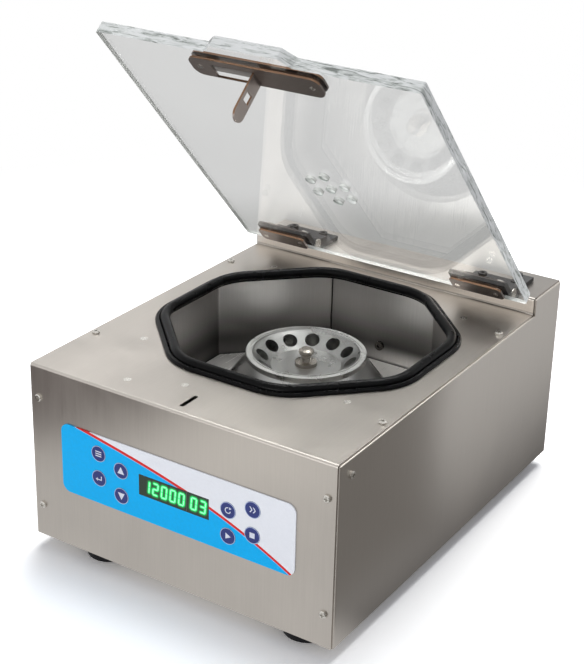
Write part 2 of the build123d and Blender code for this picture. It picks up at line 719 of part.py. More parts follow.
def hinge_set():
    leaf_top = lid_high + leaf_t
    for c in (-hinge_dx, hinge_dx):
        clamp_y = (lid_rear_y - 0.6) - clamp_d / 2
        shape = Rectangle(2 * clamp_half, clamp_d)
        shape = chamfer(shape.vertices(), 2.2)
        clamp = plate_z(shape, c, clamp_y, lid_low - clamp_t, lid_low)
        leaf_y0, leaf_y1 = axis_y - 20.0, axis_y
        leaf = block(c - leaf_half, c + leaf_half, leaf_y0, lid_rear_y - 1.2, lid_high, leaf_top)
        leaf = chamfer(leaf.edges().filter_by(Axis.X).group_by(Axis.Z)[-1].sort_by(Axis.Y)[0], 1.5)
        leaf += block(c - barrel_half, c + barrel_half, leaf_y0 + 8, leaf_y1, lid_high + 0.3, leaf_top)
        leaf += rod_x(c - barrel_half, c + barrel_half, axis_y, axis_z, barrel_r)
        leaf -= rod_x(c - leaf_half - 1, c + leaf_half + 1, axis_y, axis_z, pin_r + run_gap)
        adjust_x = c + 5.0
        leaf -= rod(adjust_x, hinge_screw_y, leaf_top - 2.5, leaf_top + 1, 1.5)
        dome = rod(adjust_x, hinge_screw_y, leaf_top, leaf_top + 3.2, 3.4)
        dome = chamfer(dome.edges().sort_by(Axis.Z)[-1], 1.3)
        dome += rod(adjust_x, hinge_screw_y, leaf_top - 2.4, leaf_top, 1.48)
        add("hinge_adjusters", opened(dome))
        for dx in (-hinge_screw_dx, hinge_screw_dx):
            clamp -= rod(c + dx, hinge_screw_y, lid_low - 5, lid_low + 1, hinge_screw_r)
            leaf -= rod(c + dx, hinge_screw_y, lid_high - 1, leaf_top + 1, hinge_screw_r)
            screw = socket_screw(6.8, 2.4, hinge_screw_r - 0.02, leaf_t + lid_t + clamp_t + 0.4)
            add("lid_screws", opened(Pos(c + dx, hinge_screw_y, leaf_top) * screw))
        add("hinge_clamp_plates", opened(clamp))
        add("hinge_lid_leaves", opened(leaf))

        base = block(c - leaf_half, c + leaf_half, axis_y + 6, axis_y + 32, block_z, block_z + fixed_leaf_t)
        for s in (-1, 1):
            xs = sorted((c + s * (barrel_half + rest_gap), c + s * leaf_half))
            knuckle = block(*xs, axis_y, axis_y + 14, block_z + 0.3, block_z + 9.0)
            knuckle += block(*xs, axis_y + 6, axis_y + 14, block_z, block_z + 9.0)
            knuckle += rod_x(*xs, axis_y, axis_z, barrel_r)
            base += knuckle
        base -= rod_x(c - leaf_half - 1, c + leaf_half + 1, axis_y, axis_z, pin_r)
        for dx in (-fixed_screw_dx, fixed_screw_dx):
            base -= rod(c + dx, fixed_screw_y, block_z - 1, block_z + 5, hinge_screw_r)
            screw = socket_screw(7.0, 3.6, hinge_screw_r - 0.02, fixed_leaf_t + sheet + 4)
            add("hinge_block_screws", Pos(c + dx, fixed_screw_y, block_z + fixed_leaf_t) * screw)
            nut = Pos(c + dx, fixed_screw_y, block_z - sheet - 3.0) * hex_nut(7.0, 3.0, hinge_screw_r)
            add("m4_nuts", nut)
        add("hinge_block_leaves", base)
        pin = rod_x(c - leaf_half, c + leaf_half, axis_y, axis_z, pin_r - 0.02)
        for s in (-1, 1):
            pin += rod_x(*sorted((c + s * leaf_half, c + s * (leaf_half + 0.8))), axis_y, axis_z, barrel_r - 0.4)
        add("hinge_pins", pin)


def latch_set():
    hole_z = lid_low - tongue_hole_drop
    x_guide = centre_x - 8.0
    bracket = block(-62, x_guide, front_y + 8, front_y + 41, under_deck - bracket_t, under_deck)
    bracket += block(x_guide - bracket_t, x_guide, front_y + 8, front_y + 28, hole_z - 10, under_deck - bracket_t)
    bracket -= rod_x(x_guide - 5, x_guide + 1, tongue_y, hole_z, bolt_r + run_gap)
    for x, y in bracket_studs():
        bracket -= rod(x, y, under_deck - 5, under_deck + 1, stud_d / 2)
    x_face = x_guide - bracket_t
    coil_len = 30.0
    coil = block(x_face - coil_len, x_face, tongue_y - 8.0, tongue_y + 6.5, hole_z - 8, hole_z + 6.5)
    coil -= rod_x(x_face - coil_len + 3, x_face + 1, tongue_y, hole_z, bolt_r + run_gap)
    add("latch_bracket", bracket)
    add("latch_solenoid", coil)
    tip = x_guide + 2.5
    bolt = rod_x(x_face - coil_len + 4, tip, tongue_y, hole_z, bolt_r)
    bolt = chamfer(bolt.edges().sort_by(Axis.X)[-1], 0.8)
    add("latch_bolt", bolt)
    # Fork light sensor that sees the tongue from the other side
    sx = centre_x + 3.5
    sensor = block(sx, sx + 14, tongue_y - 4, tongue_y + 6, hole_z - 12, hole_z - 4)
    sensor += block(sx + 10, sx + 14, tongue_y - 4, tongue_y + 6, hole_z - 12, under_deck)
    add("lid_sensor", sensor)


def control_panel():
    y0, y1 = front_y - panel_t, front_y
    sheet_face = plate_y(rounded(panel_w, panel_h, panel_corner_r), panel_x, panel_z, y0, y1)
    for x, z in key_places().values():
        sheet_face -= rod_y(x, y0 - 1, y1 + 1, z, key_r + slide_gap)
    half_w, half_h = window_w / 2, window_h / 2
    sheet_face -= block(panel_x - half_w, panel_x + half_w, y0 - 1, y1 + 1, window_z - half_h, window_z + half_h)
    add("control_panel", sheet_face)
    pane = block(panel_x - half_w, panel_x + half_w, y0, y1, window_z - half_h, window_z + half_h)
    add("display_window", pane)

    y_top = front_y - key_proud
    for name, (x, z) in key_places().items():
        cap = rod_y(x, y_top, y_top + key_t, z, key_r)
        stem = rod_y(x, y_top + key_t, front_y + sheet + stem_past, z, key_stem_r)
        add(name, cap + stem)

    # Circuit board behind the panel with the key domes and the two display modules
    bx0, bx1 = panel_x - 84, panel_x + 84
    bz0, bz1 = panel_z - 27, panel_z + 27
    board = block(bx0, bx1, board_y, board_y + board_t, bz0, bz1)
    spots = [(x, z) for x in (bx0 + 6, bx1 - 6) for z in (bz0 + 5, bz1 - 5)]
    for x, z in spots:
        board -= rod_y(x, board_y - 1, board_y + 3, z, 1.5)
        pillar = rod_y(x, front_y + sheet, board_y, z, 3.0) - rod_y(x, front_y + sheet, board_y + 1, z, 1.5)
        add("board_pillars", pillar)
        add("m3_screws", Pos(x, board_y + board_t, z) * facing("+y") * plain_screw(5.5, 1.8, 1.48, 4.6))
    for x, z in key_places().values():
        dome_y = front_y + sheet + stem_past + key_travel + 0.15
        board += rod_y(x, dome_y, board_y, z, 4.2)
    add("key_board", board)
    gap = 0.4
    inner_w = window_w - 2.4 - 1.0
    for s in (-1, 1):
        xs = sorted((panel_x + s * gap / 2, panel_x + s * inner_w / 2))
        add("display_modules", block(*xs, front_y + 0.2, board_y, window_z - 6.3, window_z + 6.3))


def standoff_places():
    return [(x, y) for x in (board_edge - 39.0, board_edge - 5.0) for y in (chamber_y - 62, chamber_y + 62)]


def electronics():
    z0 = floor_top + 8.0
    for x, y in standoff_places():
        add("board_pillars", rod(x, y, floor_top, z0, 3.0) - rod(x, y, floor_top, floor_top + 4, 1.5))
        add("m3_screws", Pos(x, y, z0 + 1.6) * plain_screw(5.5, 1.8, 1.48, 1.6))
        add("m3_screws", Pos(x, y, base_z) * facing("-z") * plain_screw(5.5, 1.8, 1.48, 5.0))
    board = block(board_edge - 44, board_edge, chamber_y - 68, chamber_y + 68, z0, z0 + 1.6)
    for x, y in standoff_places():
        board -= rod(x, y, z0 - 1, z0 + 3, 1.5)
    add("drive_board", board)
    t = z0 + 1.6
    for back, r in ((30, 9.0), (12, 7.0)):
        add("board_components", rod(board_edge - back, chamber_y - 38, t, t + 34, r))
    sink_x = board_edge - 34
    sink = block(sink_x - 4, sink_x, chamber_y - 12, chamber_y + 40, t, t + 30)
    for i in range(8):
        y = chamber_y - 10 + i * 6.5
        sink += block(sink_x, sink_x + 14, y, y + 1.5, t, t + 30)
    add("heat_sink", sink)
    for back, y0, y1, h in ((16, 2, 30, 16), (30, -26, -16, 12)):
        x0, x1 = board_edge - back, board_edge - 2
        add("board_components", block(x0, x1, chamber_y + y0, chamber_y + y1, t, t + h))

    # Mains transformer on the left
    cx, half = transformer_x, transformer_w / 2
    core = block(cx - half, cx + half, chamber_y - 26, chamber_y + 26, floor_top + 2, floor_top + 46)
    core -= block(cx - 11, cx + 11, chamber_y - 40, chamber_y + 40, floor_top + 12, floor_top + 36)
    frame = core + block(cx - half, cx + half, chamber_y - 38, chamber_y + 38, floor_top, floor_top + 2)
    for dy in (-33, 33):
        frame -= rod(cx, chamber_y + dy, floor_top - 1, floor_top + 4, 2.0)
        add("m4_screws", Pos(cx, chamber_y + dy, floor_top + 2) * plain_screw(7.5, 2.4, 1.98, 2.0))
    add("transformer", frame)
    coil = block(cx - 11, cx + 11, chamber_y - 32, chamber_y + 32, floor_top + 12, floor_top + 36)
    add("transformer", coil)


def fan_set():
    y1 = back_y - sheet
    y0 = y1 - fan_deep
    frame = plate_y(rounded(fan_side, fan_side, 4), fan_x, fan_z, y0, y1)
    frame -= rod_y(fan_x, y0 - 1, y1 + 1, fan_z, fan_bore_r)
    hub = rod_y(fan_x, y0, y0 + 2.0, fan_z, 13.0)
    for a in around(4, 45):
        arm = Pos(fan_x, y0 + 1.0, fan_z) * Rot(0, -a, 0) * Pos(20, 0, 0) * Box(18, 2.0, 2.5)
        frame += arm
    frame += hub
    frame += rod_y(fan_x, y0 + 2.0, y0 + 6.0, fan_z, 2.0)
    for dx in (-25, 25):
        for dz in (-25, 25):
            frame -= rod_y(fan_x + dx, y0 - 1, y1 + 1, fan_z + dz, 2.0)
            screw = Pos(fan_x + dx, back_y + guard_t, fan_z + dz) * facing("+y") * plain_screw(7.5, 2.4, 1.98, 10.0)
            add("m4_screws", screw)
    add("fan_frame", frame)

    blades = rod_y(fan_x, y0 + 2.4, y1 - 1.5, fan_z, 12.0) - rod_y(fan_x, y0 + 2.3, y0 + 6.4, fan_z, 2.0 + run_gap)
    for a in around(7):
        blade = Box(17.0, 1.2, 9.0)
        blade = Rot(38, 0, 0) * blade
        blades += Pos(fan_x, (y0 + y1) / 2 + 0.5, fan_z) * Rot(0, a, 0) * Pos(18.5, 0, 0) * blade
    add("fan_rotor", blades)

    guard = None
    ring_y0, ring_y1 = back_y, back_y + guard_t
    for r in (11.0, 20.0, 29.0):
        ring = rod_y(fan_x, ring_y0, ring_y1, fan_z, r + 0.8) - rod_y(fan_x, ring_y0 - 1, ring_y1 + 1, fan_z, r - 0.8)
        guard = ring if guard is None else guard + ring
    for a in around(4, 45):
        bar = Pos(fan_x, (ring_y0 + ring_y1) / 2, fan_z) * Rot(0, -a, 0) * Pos(23.25, 0, 0) * Box(24.5, guard_t, 1.6)
        guard += bar
    for dx in (-25, 25):
        for dz in (-25, 25):
            guard += rod_y(fan_x + dx, ring_y0, ring_y1, fan_z + dz, 4.2)
            guard -= rod_y(fan_x + dx, ring_y0 - 1, ring_y1 + 1, fan_z + dz, 2.0)
    add("fan_guard", guard)


def mains_set():
    y = back_y
    socket_z = inlet_z + 5.0
    drawer_z = inlet_z - 10.0
    body = plate_y(rounded(inlet_flange_w, inlet_flange_h, 3), inlet_x, inlet_z, y, y + 2.5)
    body += block(inlet_x - inlet_body_w / 2, inlet_x + inlet_body_w / 2, y - inlet_depth, y,
                  inlet_z - inlet_body_h / 2, inlet_z + inlet_body_h / 2)
    hollow = Rectangle(socket_w, socket_h)
    hollow = chamfer(hollow.vertices().sort_by(Axis.Y)[2:], 4.0)
    body -= plate_y(hollow, inlet_x, socket_z, y + 2.5 - socket_deep, y + 4)
    body -= block(inlet_x - drawer_w / 2 - slide_gap, inlet_x + drawer_w / 2 + slide_gap, y + 2.5 - drawer_deep - 1, y + 4,
                  drawer_z - drawer_h / 2 - slide_gap, drawer_z + drawer_h / 2 + slide_gap)
    for dx in (-inlet_screw_dx, inlet_screw_dx):
        body -= rod_y(inlet_x + dx, y - 1, y + 4, inlet_z, 1.5)
        add("m3_screws", Pos(inlet_x + dx, y + 2.5, inlet_z) * facing("+y") * plain_screw(5.5, 1.7, 1.48, 7.0))
    for dx, dz in ((-7, -2), (7, -2), (0, 2)):
        pin = block(inlet_x + dx - 1, inlet_x + dx + 1, y - inlet_depth - 5, y + 2.5 - 4, socket_z + dz - 2, socket_z + dz + 2)
        add("inlet_pins", pin)
        body -= pin
    add("mains_inlet", body)
    drawer = block(inlet_x - drawer_w / 2, inlet_x + drawer_w / 2, y + 2.5 - drawer_deep, y + 3.0,
                   drawer_z - drawer_h / 2, drawer_z + drawer_h / 2)
    drawer -= block(inlet_x - drawer_w / 2 + 2, inlet_x + drawer_w / 2 - 2, y - 14, y - 2, drawer_z - 1.5, drawer_z + 5)
    drawer -= block(inlet_x - 4, inlet_x + 4, y + 1.5, y + 4, drawer_z - 2, drawer_z + 2)
    add("fuse_drawer", drawer)
    add("fuse_drawer", rod_x(inlet_x - 8.9, inlet_x + 8.9, y - 8, drawer_z + 1.0, 2.4))

    frame = plate_y(rounded(switch_flange_w, switch_flange_h, 2), switch_x, switch_z, y, y + 2.0)
    frame += block(switch_x - switch_body_w / 2, switch_x + switch_body_w / 2, y - 18, y,
                   switch_z - switch_body_h / 2, switch_z + switch_body_h / 2)
    frame -= block(switch_x - rocker_w / 2 - 0.3, switch_x + rocker_w / 2 + 0.3, y - 10, y + 3,
                   switch_z - rocker_h / 2 - 0.6, switch_z + rocker_h / 2 + 0.6)
    pivot_y = y - 3.0
    for s in (-1, 1):
        xs = sorted((switch_x + s * (rocker_w / 2 + 0.3), switch_x + s * (rocker_w / 2 + 1.8)))
        frame -= rod_x(*xs, pivot_y, switch_z, 1.5 + run_gap)
    add("switch_frame", frame)
    # Rocker seen from the side: two flats meeting in a shallow valley, drawn pressed at its lower half
    h2 = rocker_h / 2 - 0.5
    pts = [(0, pivot_y - 3.5, -h2 * 0.5), (0, pivot_y - 3.5, h2 * 0.5), (0, pivot_y + 3.2, h2), (0, pivot_y + 6.2, h2 - 1.2),
           (0, pivot_y + 3.4, 0), (0, pivot_y + 6.2, -h2 + 1.2), (0, pivot_y + 3.2, -h2)]
    face = make_face(Polyline(*pts, close=True))
    rocker = Pos(switch_x - rocker_w / 2, 0, 0) * extrude(face, rocker_w, dir=(1, 0, 0))
    for s in (-1, 1):
        xs = sorted((switch_x + s * (rocker_w / 2 - 1), switch_x + s * (rocker_w / 2 + 1.6)))
        rocker += rod_x(*xs, pivot_y, 0, 1.5)
    rocker = Pos(0, pivot_y, switch_z) * Rot(rocker_swing / 2, 0, 0) * Pos(0, -pivot_y, 0) * rocker
    add("switch_rocker", rocker)


def feet():
    for x in foot_xs:
        for y in foot_ys:
            foot = Pos(x, y, 0) * turned([(2.05, foot_h), (foot_r, foot_h), (foot_r, foot_h - 3), (foot_r - 1.0, 0),
                                          (6.0, 0), (6.0, foot_h - 5), (2.05, foot_h - 5)])
            add("feet", foot)
            screw = Pos(x, y, foot_h - 5) * facing("-z") * plain_screw(7.5, 2.4, 1.98, 5 + sheet + 4)
            add("m4_screws", screw)
            add("m4_nuts", Pos(x, y, floor_top) * hex_nut(7.0, 3.2, 2.0))


def build():
    top_cover()
    base_tray()
    rear_panel()
    screws()
    gasket()
    chamber()
    rotor_set()
    motor_set()
    lid_set()
    hinge_set()
    latch_set()
    control_panel()
    electronics()
    fan_set()
    mains_set()
    feet()


build()
os.makedirs("parts", exist_ok=True)
for name, shapes in parts.items():
    solids = []
    for shape in shapes:
        solids.extend(shape.solids())
    export_step(solids[0] if len(solids) == 1 else Compound(children=solids), f"parts/{name}.step")
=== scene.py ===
import math

import bmesh
import bpy
from mathutils import Matrix, Vector


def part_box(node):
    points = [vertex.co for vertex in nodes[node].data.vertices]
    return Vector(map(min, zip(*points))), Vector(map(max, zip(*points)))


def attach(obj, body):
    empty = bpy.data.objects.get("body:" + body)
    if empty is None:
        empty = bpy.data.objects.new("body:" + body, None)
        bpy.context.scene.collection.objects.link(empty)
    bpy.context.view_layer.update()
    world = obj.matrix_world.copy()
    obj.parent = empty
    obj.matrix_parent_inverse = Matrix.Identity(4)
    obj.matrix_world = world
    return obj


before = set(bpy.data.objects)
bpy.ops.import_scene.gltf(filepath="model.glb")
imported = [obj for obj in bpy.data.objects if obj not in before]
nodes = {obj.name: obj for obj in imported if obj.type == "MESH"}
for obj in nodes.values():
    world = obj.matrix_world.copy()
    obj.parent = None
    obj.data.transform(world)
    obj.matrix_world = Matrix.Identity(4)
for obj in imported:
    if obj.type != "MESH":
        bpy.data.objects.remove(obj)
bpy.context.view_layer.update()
scene = bpy.context.scene

MM = 0.001

# Places that the shading follows, in metres, most of them from the parts' boxes in model.glb

RISER = 13.1 * MM
BLOCK_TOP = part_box("top_cover")[1].z
DECK_TOP = BLOCK_TOP - RISER

floor_low, floor_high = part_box("chamber_floor")
CHAMBER_Y = (floor_low.y + floor_high.y) / 2
FLOOR_TOP = floor_high.z

LINER_SHEET = 1.0 * MM
liner_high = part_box("chamber_liner")[1]
LINER_BACK = liner_high.y
WALL_AT = liner_high.x - LINER_SHEET

# The rotor's section: where the dish ends, where the rim starts, and the lines of the bank and the skirt
rotor_low, rotor_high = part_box("rotor")
ROTOR_Y = (rotor_low.y + rotor_high.y) / 2
RIM_TOP = rotor_high.z
DISH_EDGE = (39.5 * MM, 41.0 * MM)
RIM_FOOT = (RIM_TOP - 5.7 * MM, RIM_TOP - 4.2 * MM)
BANK_FOOT_R, BANK_FOOT_DROP, BANK_SLOPE = 26.3 * MM, 10.7 * MM, 9.7 / 13.1
SKIRT_TOP_R, SKIRT_TOP_DROP, SKIRT_SLOPE = 42.8 * MM, 4.2 * MM, 22.5 / 30.1

LID_OPEN = math.radians(47.5)
LID_NORMAL = (0.0, math.sin(LID_OPEN), math.cos(LID_OPEN))
LID_FORWARD = (0.0, -math.cos(LID_OPEN), math.sin(LID_OPEN))
# How far along the lid's normal the latch plate ends and its hanging tongue goes on
TONGUE_TOP = 181.8 * MM


# Shader helpers

class Shader:
    """A node material built a line at a time."""

    def __init__(self, name):
        self.mat = bpy.data.materials.new(name)
        self.mat.use_nodes = True
        self.tree = self.mat.node_tree
        self.bsdf = self.tree.nodes["Principled BSDF"]
        self.out = self.tree.nodes["Material Output"]
        self.texture = None

    def node(self, kind, **settings):
        n = self.tree.nodes.new(kind)
        for k, v in settings.items():
            setattr(n, k, v)
        return n

    def put(self, socket, value):
        if isinstance(value, bpy.types.NodeSocket):
            self.tree.links.new(value, socket)
        else:
            socket.default_value = value

    def set(self, **values):
        for k, v in values.items():
            self.put(self.bsdf.inputs[k.replace("_", " ")], v)

    def coordinate(self, kind):
        if self.texture is None:
            self.texture = self.node("ShaderNodeTexCoord")
        return self.texture.outputs[kind]

    @property
    def coord(self):
        return self.coordinate("Object")

    @property
    def normal(self):
        return self.coordinate("Normal")

    def math(self, op, a, b=0.0):
        n = self.node("ShaderNodeMath", operation=op)
        self.put(n.inputs[0], a)
        self.put(n.inputs[1], b)
        return n.outputs[0]

    def add(self, a, b):
        return self.math("ADD", a, b)

    def sub(self, a, b):
        return self.math("SUBTRACT", a, b)

    def mul(self, a, b):
        return self.math("MULTIPLY", a, b)

    def most(self, a, b):
        return self.math("MAXIMUM", a, b)

    def absolute(self, a):
        return self.math("ABSOLUTE", a)

    def away(self, x, y, place):
        """How far x and y are from a place in the plan."""
        dx, dy = self.sub(x, place[0]), self.sub(y, place[1])
        return self.math("SQRT", self.add(self.mul(dx, dx), self.mul(dy, dy)))

    def xyz(self, vec=None):
        n = self.node("ShaderNodeSeparateXYZ")
        self.put(n.inputs[0], vec or self.coord)
        return n.outputs

    def vector(self, x, y, z):
        n = self.node("ShaderNodeCombineXYZ")
        for i, v in enumerate((x, y, z)):
            self.put(n.inputs[i], v)
        return n.outputs[0]

    def dot(self, vec, axis):
        n = self.node("ShaderNodeVectorMath", operation="DOT_PRODUCT")
        self.put(n.inputs[0], vec)
        n.inputs[1].default_value = axis
        return n.outputs["Value"]

    def scaled(self, scale):
        n = self.node("ShaderNodeMapping")
        self.put(n.inputs["Vector"], self.coord)
        n.inputs["Scale"].default_value = scale
        return n.outputs[0]

    def noise(self, scale, detail=2.0, rough=0.5, vec=None, distortion=0.0):
        n = self.node("ShaderNodeTexNoise")
        self.put(n.inputs["Vector"], vec or self.coord)
        n.inputs["Scale"].default_value = scale
        n.inputs["Detail"].default_value = detail
        n.inputs["Roughness"].default_value = rough
        n.inputs["Distortion"].default_value = distortion
        return n.outputs[0]

    def ramp(self, fac, stops):
        n = self.node("ShaderNodeValToRGB")
        self.put(n.inputs[0], fac)
        elements = n.color_ramp.elements
        while len(elements) < len(stops):
            elements.new(0.5)
        for element, (position, colour) in zip(elements, stops):
            element.position = position
            element.color = (*colour, 1.0)
        return n.outputs[0]

    def mix(self, fac, a, b, mode="MIX"):
        n = self.node("ShaderNodeMix", data_type="RGBA", blend_type=mode)
        self.put(n.inputs[0], fac)
        for i, v in ((6, a), (7, b)):
            self.put(n.inputs[i], v if isinstance(v, bpy.types.NodeSocket) else (*v, 1.0))
        return n.outputs[2]

    def shaded(self, colour, shade):
        """The colour times a grey value."""
        return self.mix(1.0, colour, self.vector(shade, shade, shade), "MULTIPLY")

    def span(self, value, low, high, to_low=0.0, to_high=1.0):
        """A smooth step from to_low to to_high while the value goes from low to high."""
        n = self.node("ShaderNodeMapRange", interpolation_type="SMOOTHSTEP")
        for i, v in enumerate((value, low, high, to_low, to_high)):
            self.put(n.inputs[i], v)
        return n.outputs[0]

    def bump(self, height, strength, distance):
        n = self.node("ShaderNodeBump")
        self.put(n.inputs["Height"], height)
        n.inputs["Strength"].default_value = strength
        n.inputs["Distance"].default_value = distance
        self.put(self.bsdf.inputs["Normal"], n.outputs[0])

    def diffuse(self, colour):
        n = self.node("ShaderNodeBsdfDiffuse")
        self.put(n.inputs["Color"], colour)
        return n

    def emission(self, colour):
        n = self.node("ShaderNodeEmission")
        self.put(n.inputs["Color"], colour)
        return n

    def choose(self, fac, a, b):
        """Shader a where fac is 0 and shader b where it is 1."""
        n = self.node("ShaderNodeMixShader")
        self.put(n.inputs[0], fac)
        self.put(n.inputs[1], a.outputs[0])
        self.put(n.inputs[2], b.outputs[0])
        return n

    def surface(self, shader):
        self.put(self.out.inputs["Surface"], shader.outputs[0])


def srgb(r, g, b):
    def lin(c):
        c /= 255.0
        return c / 12.92 if c <= 0.04045 else ((c + 0.055) / 1.055) ** 2.4
    return (lin(r), lin(g), lin(b))


def times(colour, k):
    return tuple(c * k for c in colour)


# Kinds of material

def brushed(name, colour, across, rough=0.32, grain=0.10, mottling=0.06, aniso=0.45, metallic=1.0, tone=None):
    """Satin sheet: fine lines that vary along the axes of `across` and run long the other way.

    `tone` paints light and shade onto it by place.
    """
    s = Shader(name)
    fine = [2600.0 if a else 45.0 for a in across]
    coarse = [900.0 if a else 14.0 for a in across]
    lines = s.noise(1.0, 2.0, 0.6, s.scaled(fine))
    broad = s.noise(1.0, 1.0, 0.5, s.scaled(coarse))
    cloud = s.noise(14.0, 3.0, 0.55, distortion=0.6)
    both = s.add(s.mul(lines, 0.65), s.mul(broad, 0.35))
    base = s.ramp(both, [(0.30, times(colour, 1.0 - grain)), (0.70, times(colour, 1.0 + grain))])
    smear = s.ramp(cloud, [(0.25, (1.0 - mottling,) * 3), (0.75, (1.0, 1.0, 1.0))])
    base = s.mix(1.0, base, smear, "MULTIPLY")
    if tone:
        base = s.shaded(base, tone(s))
    wear = s.add(s.mul(cloud, 0.6), s.mul(both, 0.4))
    s.set(Base_Color=base, Metallic=metallic, Anisotropic=aniso,
          Roughness=s.span(wear, 0.2, 0.8, rough - 0.05, rough + 0.07))
    s.put(s.bsdf.inputs["Tangent"], s.vector(*across))
    s.bump(both, 0.08, 0.05 * MM)
    return s.mat


def plain_metal(name, colour, rough):
    """Small metal parts: an even colour with a fine speckle."""
    s = Shader(name)
    speckle = s.noise(900.0, 3.0, 0.6)
    s.set(Base_Color=s.ramp(speckle, [(0.3, times(colour, 0.96)), (0.7, times(colour, 1.04))]),
          Metallic=1.0, Roughness=s.span(speckle, 0.2, 0.8, rough - 0.04, rough + 0.06))
    s.bump(speckle, 0.05, 0.05 * MM)
    return s.mat


def turned_metal(name, colour, rough, centre, tone=None):
    """Metal off a lathe: rings round the vertical line through `centre`, with pale smudges."""
    s = Shader(name)
    x, y, z = s.xyz()
    radius = s.away(x, y, centre)
    rings = s.noise(1.0, 2.0, 0.6, s.vector(s.mul(radius, 2400.0), s.mul(z, 2400.0), 0.0))
    cloud = s.noise(45.0, 3.0, 0.55)
    base = s.ramp(rings, [(0.3, times(colour, 0.93)), (0.7, times(colour, 1.05))])
    smear = s.ramp(cloud, [(0.3, (0.92, 0.92, 0.92)), (0.75, (1.0, 1.0, 1.0))])
    base = s.mix(1.0, base, smear, "MULTIPLY")
    if tone:
        base = s.shaded(base, tone(s, radius, z))
    s.set(Base_Color=base, Metallic=1.0, Roughness=s.span(cloud, 0.3, 0.7, rough - 0.05, rough + 0.06))
    s.bump(rings, 0.05, 0.03 * MM)
    return s.mat


def plastic(name, colour, rough):
    """Moulded or painted parts: a fine grain over slow changes of tone."""
    s = Shader(name)
    grain = s.noise(1400.0, 3.0, 0.6)
    wide = s.noise(60.0, 2.0, 0.5)
    s.set(Base_Color=s.ramp(wide, [(0.3, times(colour, 0.88)), (0.7, times(colour, 1.10))]),
          Roughness=s.span(grain, 0.25, 0.75, rough - 0.05, rough + 0.08))
    s.bump(grain, 0.15, 0.08 * MM)
    return s.mat


def rubber(name, colour, rough):
    """Moulded rubber: a pebbled skin with a faint bloom."""
    s = Shader(name)
    pebble = s.node("ShaderNodeTexVoronoi")
    s.put(pebble.inputs["Vector"], s.coord)
    pebble.inputs["Scale"].default_value = 900.0
    bloom = s.noise(35.0, 3.0, 0.6)
    s.set(Base_Color=s.ramp(bloom, [(0.3, colour), (0.8, times(colour, 1.5))]),
          Roughness=s.span(bloom, 0.3, 0.7, rough - 0.05, rough + 0.08), Specular_IOR_Level=0.09)
    s.bump(pebble.outputs["Distance"], 0.15, 0.12 * MM)
    return s.mat


def acrylic(name):
    """Cast acrylic sheet: clear faces with a trace of grey, saw-cut edges that scatter in pale streaks.

    A shadow ray passes part of its light straight through the flat faces.
    """
    s = Shader(name)
    haze = s.noise(10.0, 3.0, 0.5)
    s.set(Base_Color=s.ramp(haze, [(0.3, (0.905, 0.91, 0.905)), (0.7, (0.935, 0.94, 0.935))]),
          Transmission_Weight=1.0, IOR=1.49, Specular_IOR_Level=0.22, Roughness=0.0)
    along, across = s.dot(s.coord, LID_FORWARD), s.dot(s.coord, LID_NORMAL)
    cut = s.vector(s.mul(s.xyz()[0], 55.0), s.mul(along, 55.0), s.mul(across, 420.0))
    streak = s.noise(1.0, 4.0, 0.65, cut, 1.2)
    edge = s.node("ShaderNodeBsdfPrincipled")
    pale = s.ramp(streak, [(0.34, (0.24, 0.26, 0.24)), (0.43, (0.58, 0.61, 0.58)), (0.52, (0.86, 0.88, 0.86)),
                           (0.66, (0.96, 0.97, 0.96))])
    s.put(edge.inputs["Base Color"], pale)
    edge.inputs["Roughness"].default_value = 0.12
    edge.inputs["Transmission Weight"].default_value = 0.25
    edge.inputs["IOR"].default_value = 1.49
    flat = s.span(s.absolute(s.dot(s.normal, LID_NORMAL)), 0.90, 0.97)
    passing = s.node("ShaderNodeBsdfTransparent")
    passing.inputs["Color"].default_value = (0.34, 0.345, 0.34, 1.0)
    path = s.node("ShaderNodeLightPath")
    s.surface(s.choose(s.mul(path.outputs["Is Shadow Ray"], flat), s.choose(flat, edge, s.bsdf), passing))
    return s.mat


def laser_cut(name, face, edge):
    """Thin dark plate that lies along the lid: a bronze heat tint on its cut edges, and a paler tongue."""
    s = Shader(name)
    flat = s.span(s.absolute(s.dot(s.normal, LID_NORMAL)), 0.55, 0.75)
    flat = s.most(flat, s.span(s.absolute(s.xyz(s.normal)[0]), 0.93, 0.97))
    lines = s.noise(1.0, 2.0, 0.6, s.scaled((60.0, 2200.0, 2200.0)))
    tone = s.ramp(lines, [(0.3, times(face, 0.85)), (0.7, times(face, 1.15))])
    tone = s.shaded(tone, s.span(s.xyz()[0], -50.0 * MM, 40.0 * MM, 1.45, 0.75))
    hanging = s.span(s.dot(s.coord, LID_NORMAL), TONGUE_TOP - 1.0 * MM, TONGUE_TOP, 1.0, 0.0)
    tone = s.mix(hanging, tone, times(face, 1.8))
    s.set(Base_Color=s.mix(flat, edge, tone), Metallic=1.0, Roughness=s.span(lines, 0.2, 0.8, 0.36, 0.48))
    s.bump(lines, 0.08, 0.05 * MM)
    return s.mat


def key_navy(name):
    s = Shader(name)
    n = s.noise(300.0, 2.0, 0.5)
    navy = srgb(26, 44, 120)
    s.set(Base_Color=s.ramp(n, [(0.3, times(navy, 0.9)), (0.7, times(navy, 1.1))]),
          Roughness=s.span(n, 0.3, 0.7, 0.30, 0.38))
    return s.mat


# The border between the two colours of the panel film, z in mm as a cubic of x in mm, and its lines
FILM_CURVE = (93.09, -0.2599, -9.584e-4, -4.129e-6)
ACROSS_BORDER = 0.93
STRIPE_HALF = 1.05
RIM_WIDTH = 0.45


